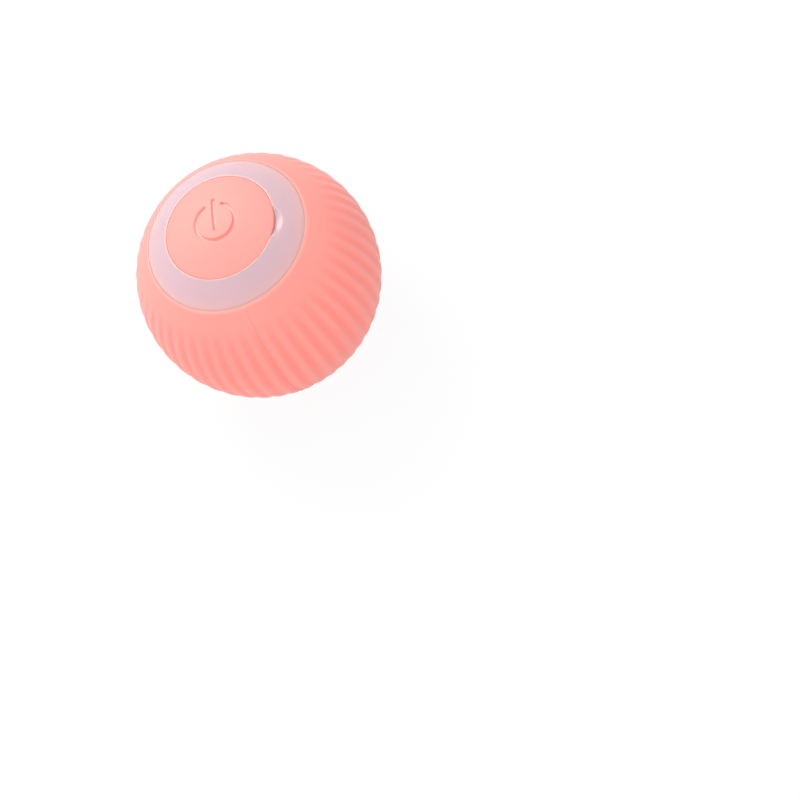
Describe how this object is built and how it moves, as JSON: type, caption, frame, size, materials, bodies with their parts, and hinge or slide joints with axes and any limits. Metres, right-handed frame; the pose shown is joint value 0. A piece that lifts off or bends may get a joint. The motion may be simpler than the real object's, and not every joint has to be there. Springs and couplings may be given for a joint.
{
  "type": "self rolling cat ball",
  "caption": "Motorised toy ball for a cat: ribbed silicone sleeve over a split shell, with a power button at one pole and a geared motor carriage hanging on the shell's axis inside.",
  "frame": {"origin": "centre of the ball", "axes": "+Z runs out of the power button along the rolling axis, +Y is the way the symbol's bar points on the button, +X is close to the nail notch beside the button"},
  "size_m": [0.043, 0.043, 0.043],
  "materials": {
    "coral_silicone": "soft matte silicone, moulded",
    "milky_plastic": "translucent milky plastic, satin",
    "white_nylon": "natural nylon, moulded",
    "black_acetal": "black acetal, moulded",
    "steel": "plain steel",
    "brass": "turned brass",
    "green_board": "green solder mask",
    "black_chip": "black epoxy",
    "battery_foil": "foil pouch",
    "led_resin": "clear resin with phosphor",
    "red_insulation": "red wire insulation",
    "black_insulation": "black wire insulation"
  },
  "bodies": {
    "shell": {"silicone_sleeve": "coral_silicone", "front_shell": "milky_plastic", "rear_shell": "milky_plastic", "front_bush": "black_acetal", "output_axle": "steel", "thrust_washer": "brass", "output_gear": "white_nylon"},
    "cap": {"cap_plug": "white_nylon"},
    "button": {"button_cap": "coral_silicone"},
    "key": {"key_stem": "white_nylon"},
    "rotor": {"motor_shaft": "steel", "motor_pinion": "brass"},
    "gear_1": {"compound_gear_1": "white_nylon"},
    "gear_2": {"compound_gear_2": "white_nylon"},
    "carriage": {"battery_cell": "battery_foil", "battery_lead_black": "black_insulation", "battery_lead_red": "red_insulation", "charger_chip": "black_chip", "controller_chip": "black_chip", "counterweight": "steel", "cover_screw_1": "steel", "cover_screw_2": "steel", "cover_screw_3": "steel", "deck_screw_1": "steel", "deck_screw_2": "steel", "deck_screw_3": "steel", "gear_arbor_1": "steel", "gear_arbor_2": "steel", "gearbox_base": "black_acetal", "gearbox_cover": "black_acetal", "key_switch": "steel", "led_1": "led_resin", "led_2": "led_resin", "led_3": "led_resin", "led_4": "led_resin", "main_board": "green_board", "motion_sensor": "steel", "motor_can": "steel", "motor_end_bell": "white_nylon", "motor_lead_black": "black_insulation", "motor_lead_red": "red_insulation", "port_deck": "white_nylon", "rear_bush": "brass", "usb_socket": "steel", "usb_tongue": "black_chip", "weight_screw_1": "steel", "weight_screw_2": "steel"}
  },
  "joints": [
    {"name": "carriage_turn", "type": "hinge", "parent": "shell", "child": "carriage", "pos_m": [0, 0, 0], "axis": [0, 0, 1], "continuous": true},
    {"name": "gear_2_turn", "type": "hinge", "parent": "carriage", "child": "gear_2", "pos_m": [-0.00606, 0.0035, 0], "axis": [0, 0, 1], "continuous": true},
    {"name": "gear_1_turn", "type": "hinge", "parent": "carriage", "child": "gear_1", "pos_m": [-0.00606, -0.0035, 0], "axis": [0, 0, 1], "continuous": true},
    {"name": "motor_turn", "type": "hinge", "parent": "carriage", "child": "rotor", "pos_m": [0, -0.007, 0], "axis": [0, 0, 1], "continuous": true},
    {"name": "cap_lift", "type": "slide", "parent": "shell", "child": "cap", "axis": [0, 0, 1], "range_m": [0, 0.01]},
    {"name": "button_press", "type": "slide", "parent": "cap", "child": "button", "axis": [0, 0, -1], "range_m": [0, 0.00055], "stiffness_N_per_m": 200, "springref_m": -0.001},
    {"name": "key_press", "type": "slide", "parent": "carriage", "child": "key", "axis": [0, 0, -1], "range_m": [0, 0.00025]}
  ],
  "couplings": [
    {"joint": "gear_2_turn", "follows": "carriage_turn", "ratio": 3},
    {"joint": "gear_1_turn", "follows": "carriage_turn", "ratio": -9},
    {"joint": "motor_turn", "follows": "carriage_turn", "ratio": 27},
    {"joint": "key_press", "follows": "button_press", "ratio": 0.4545}
  ]
}
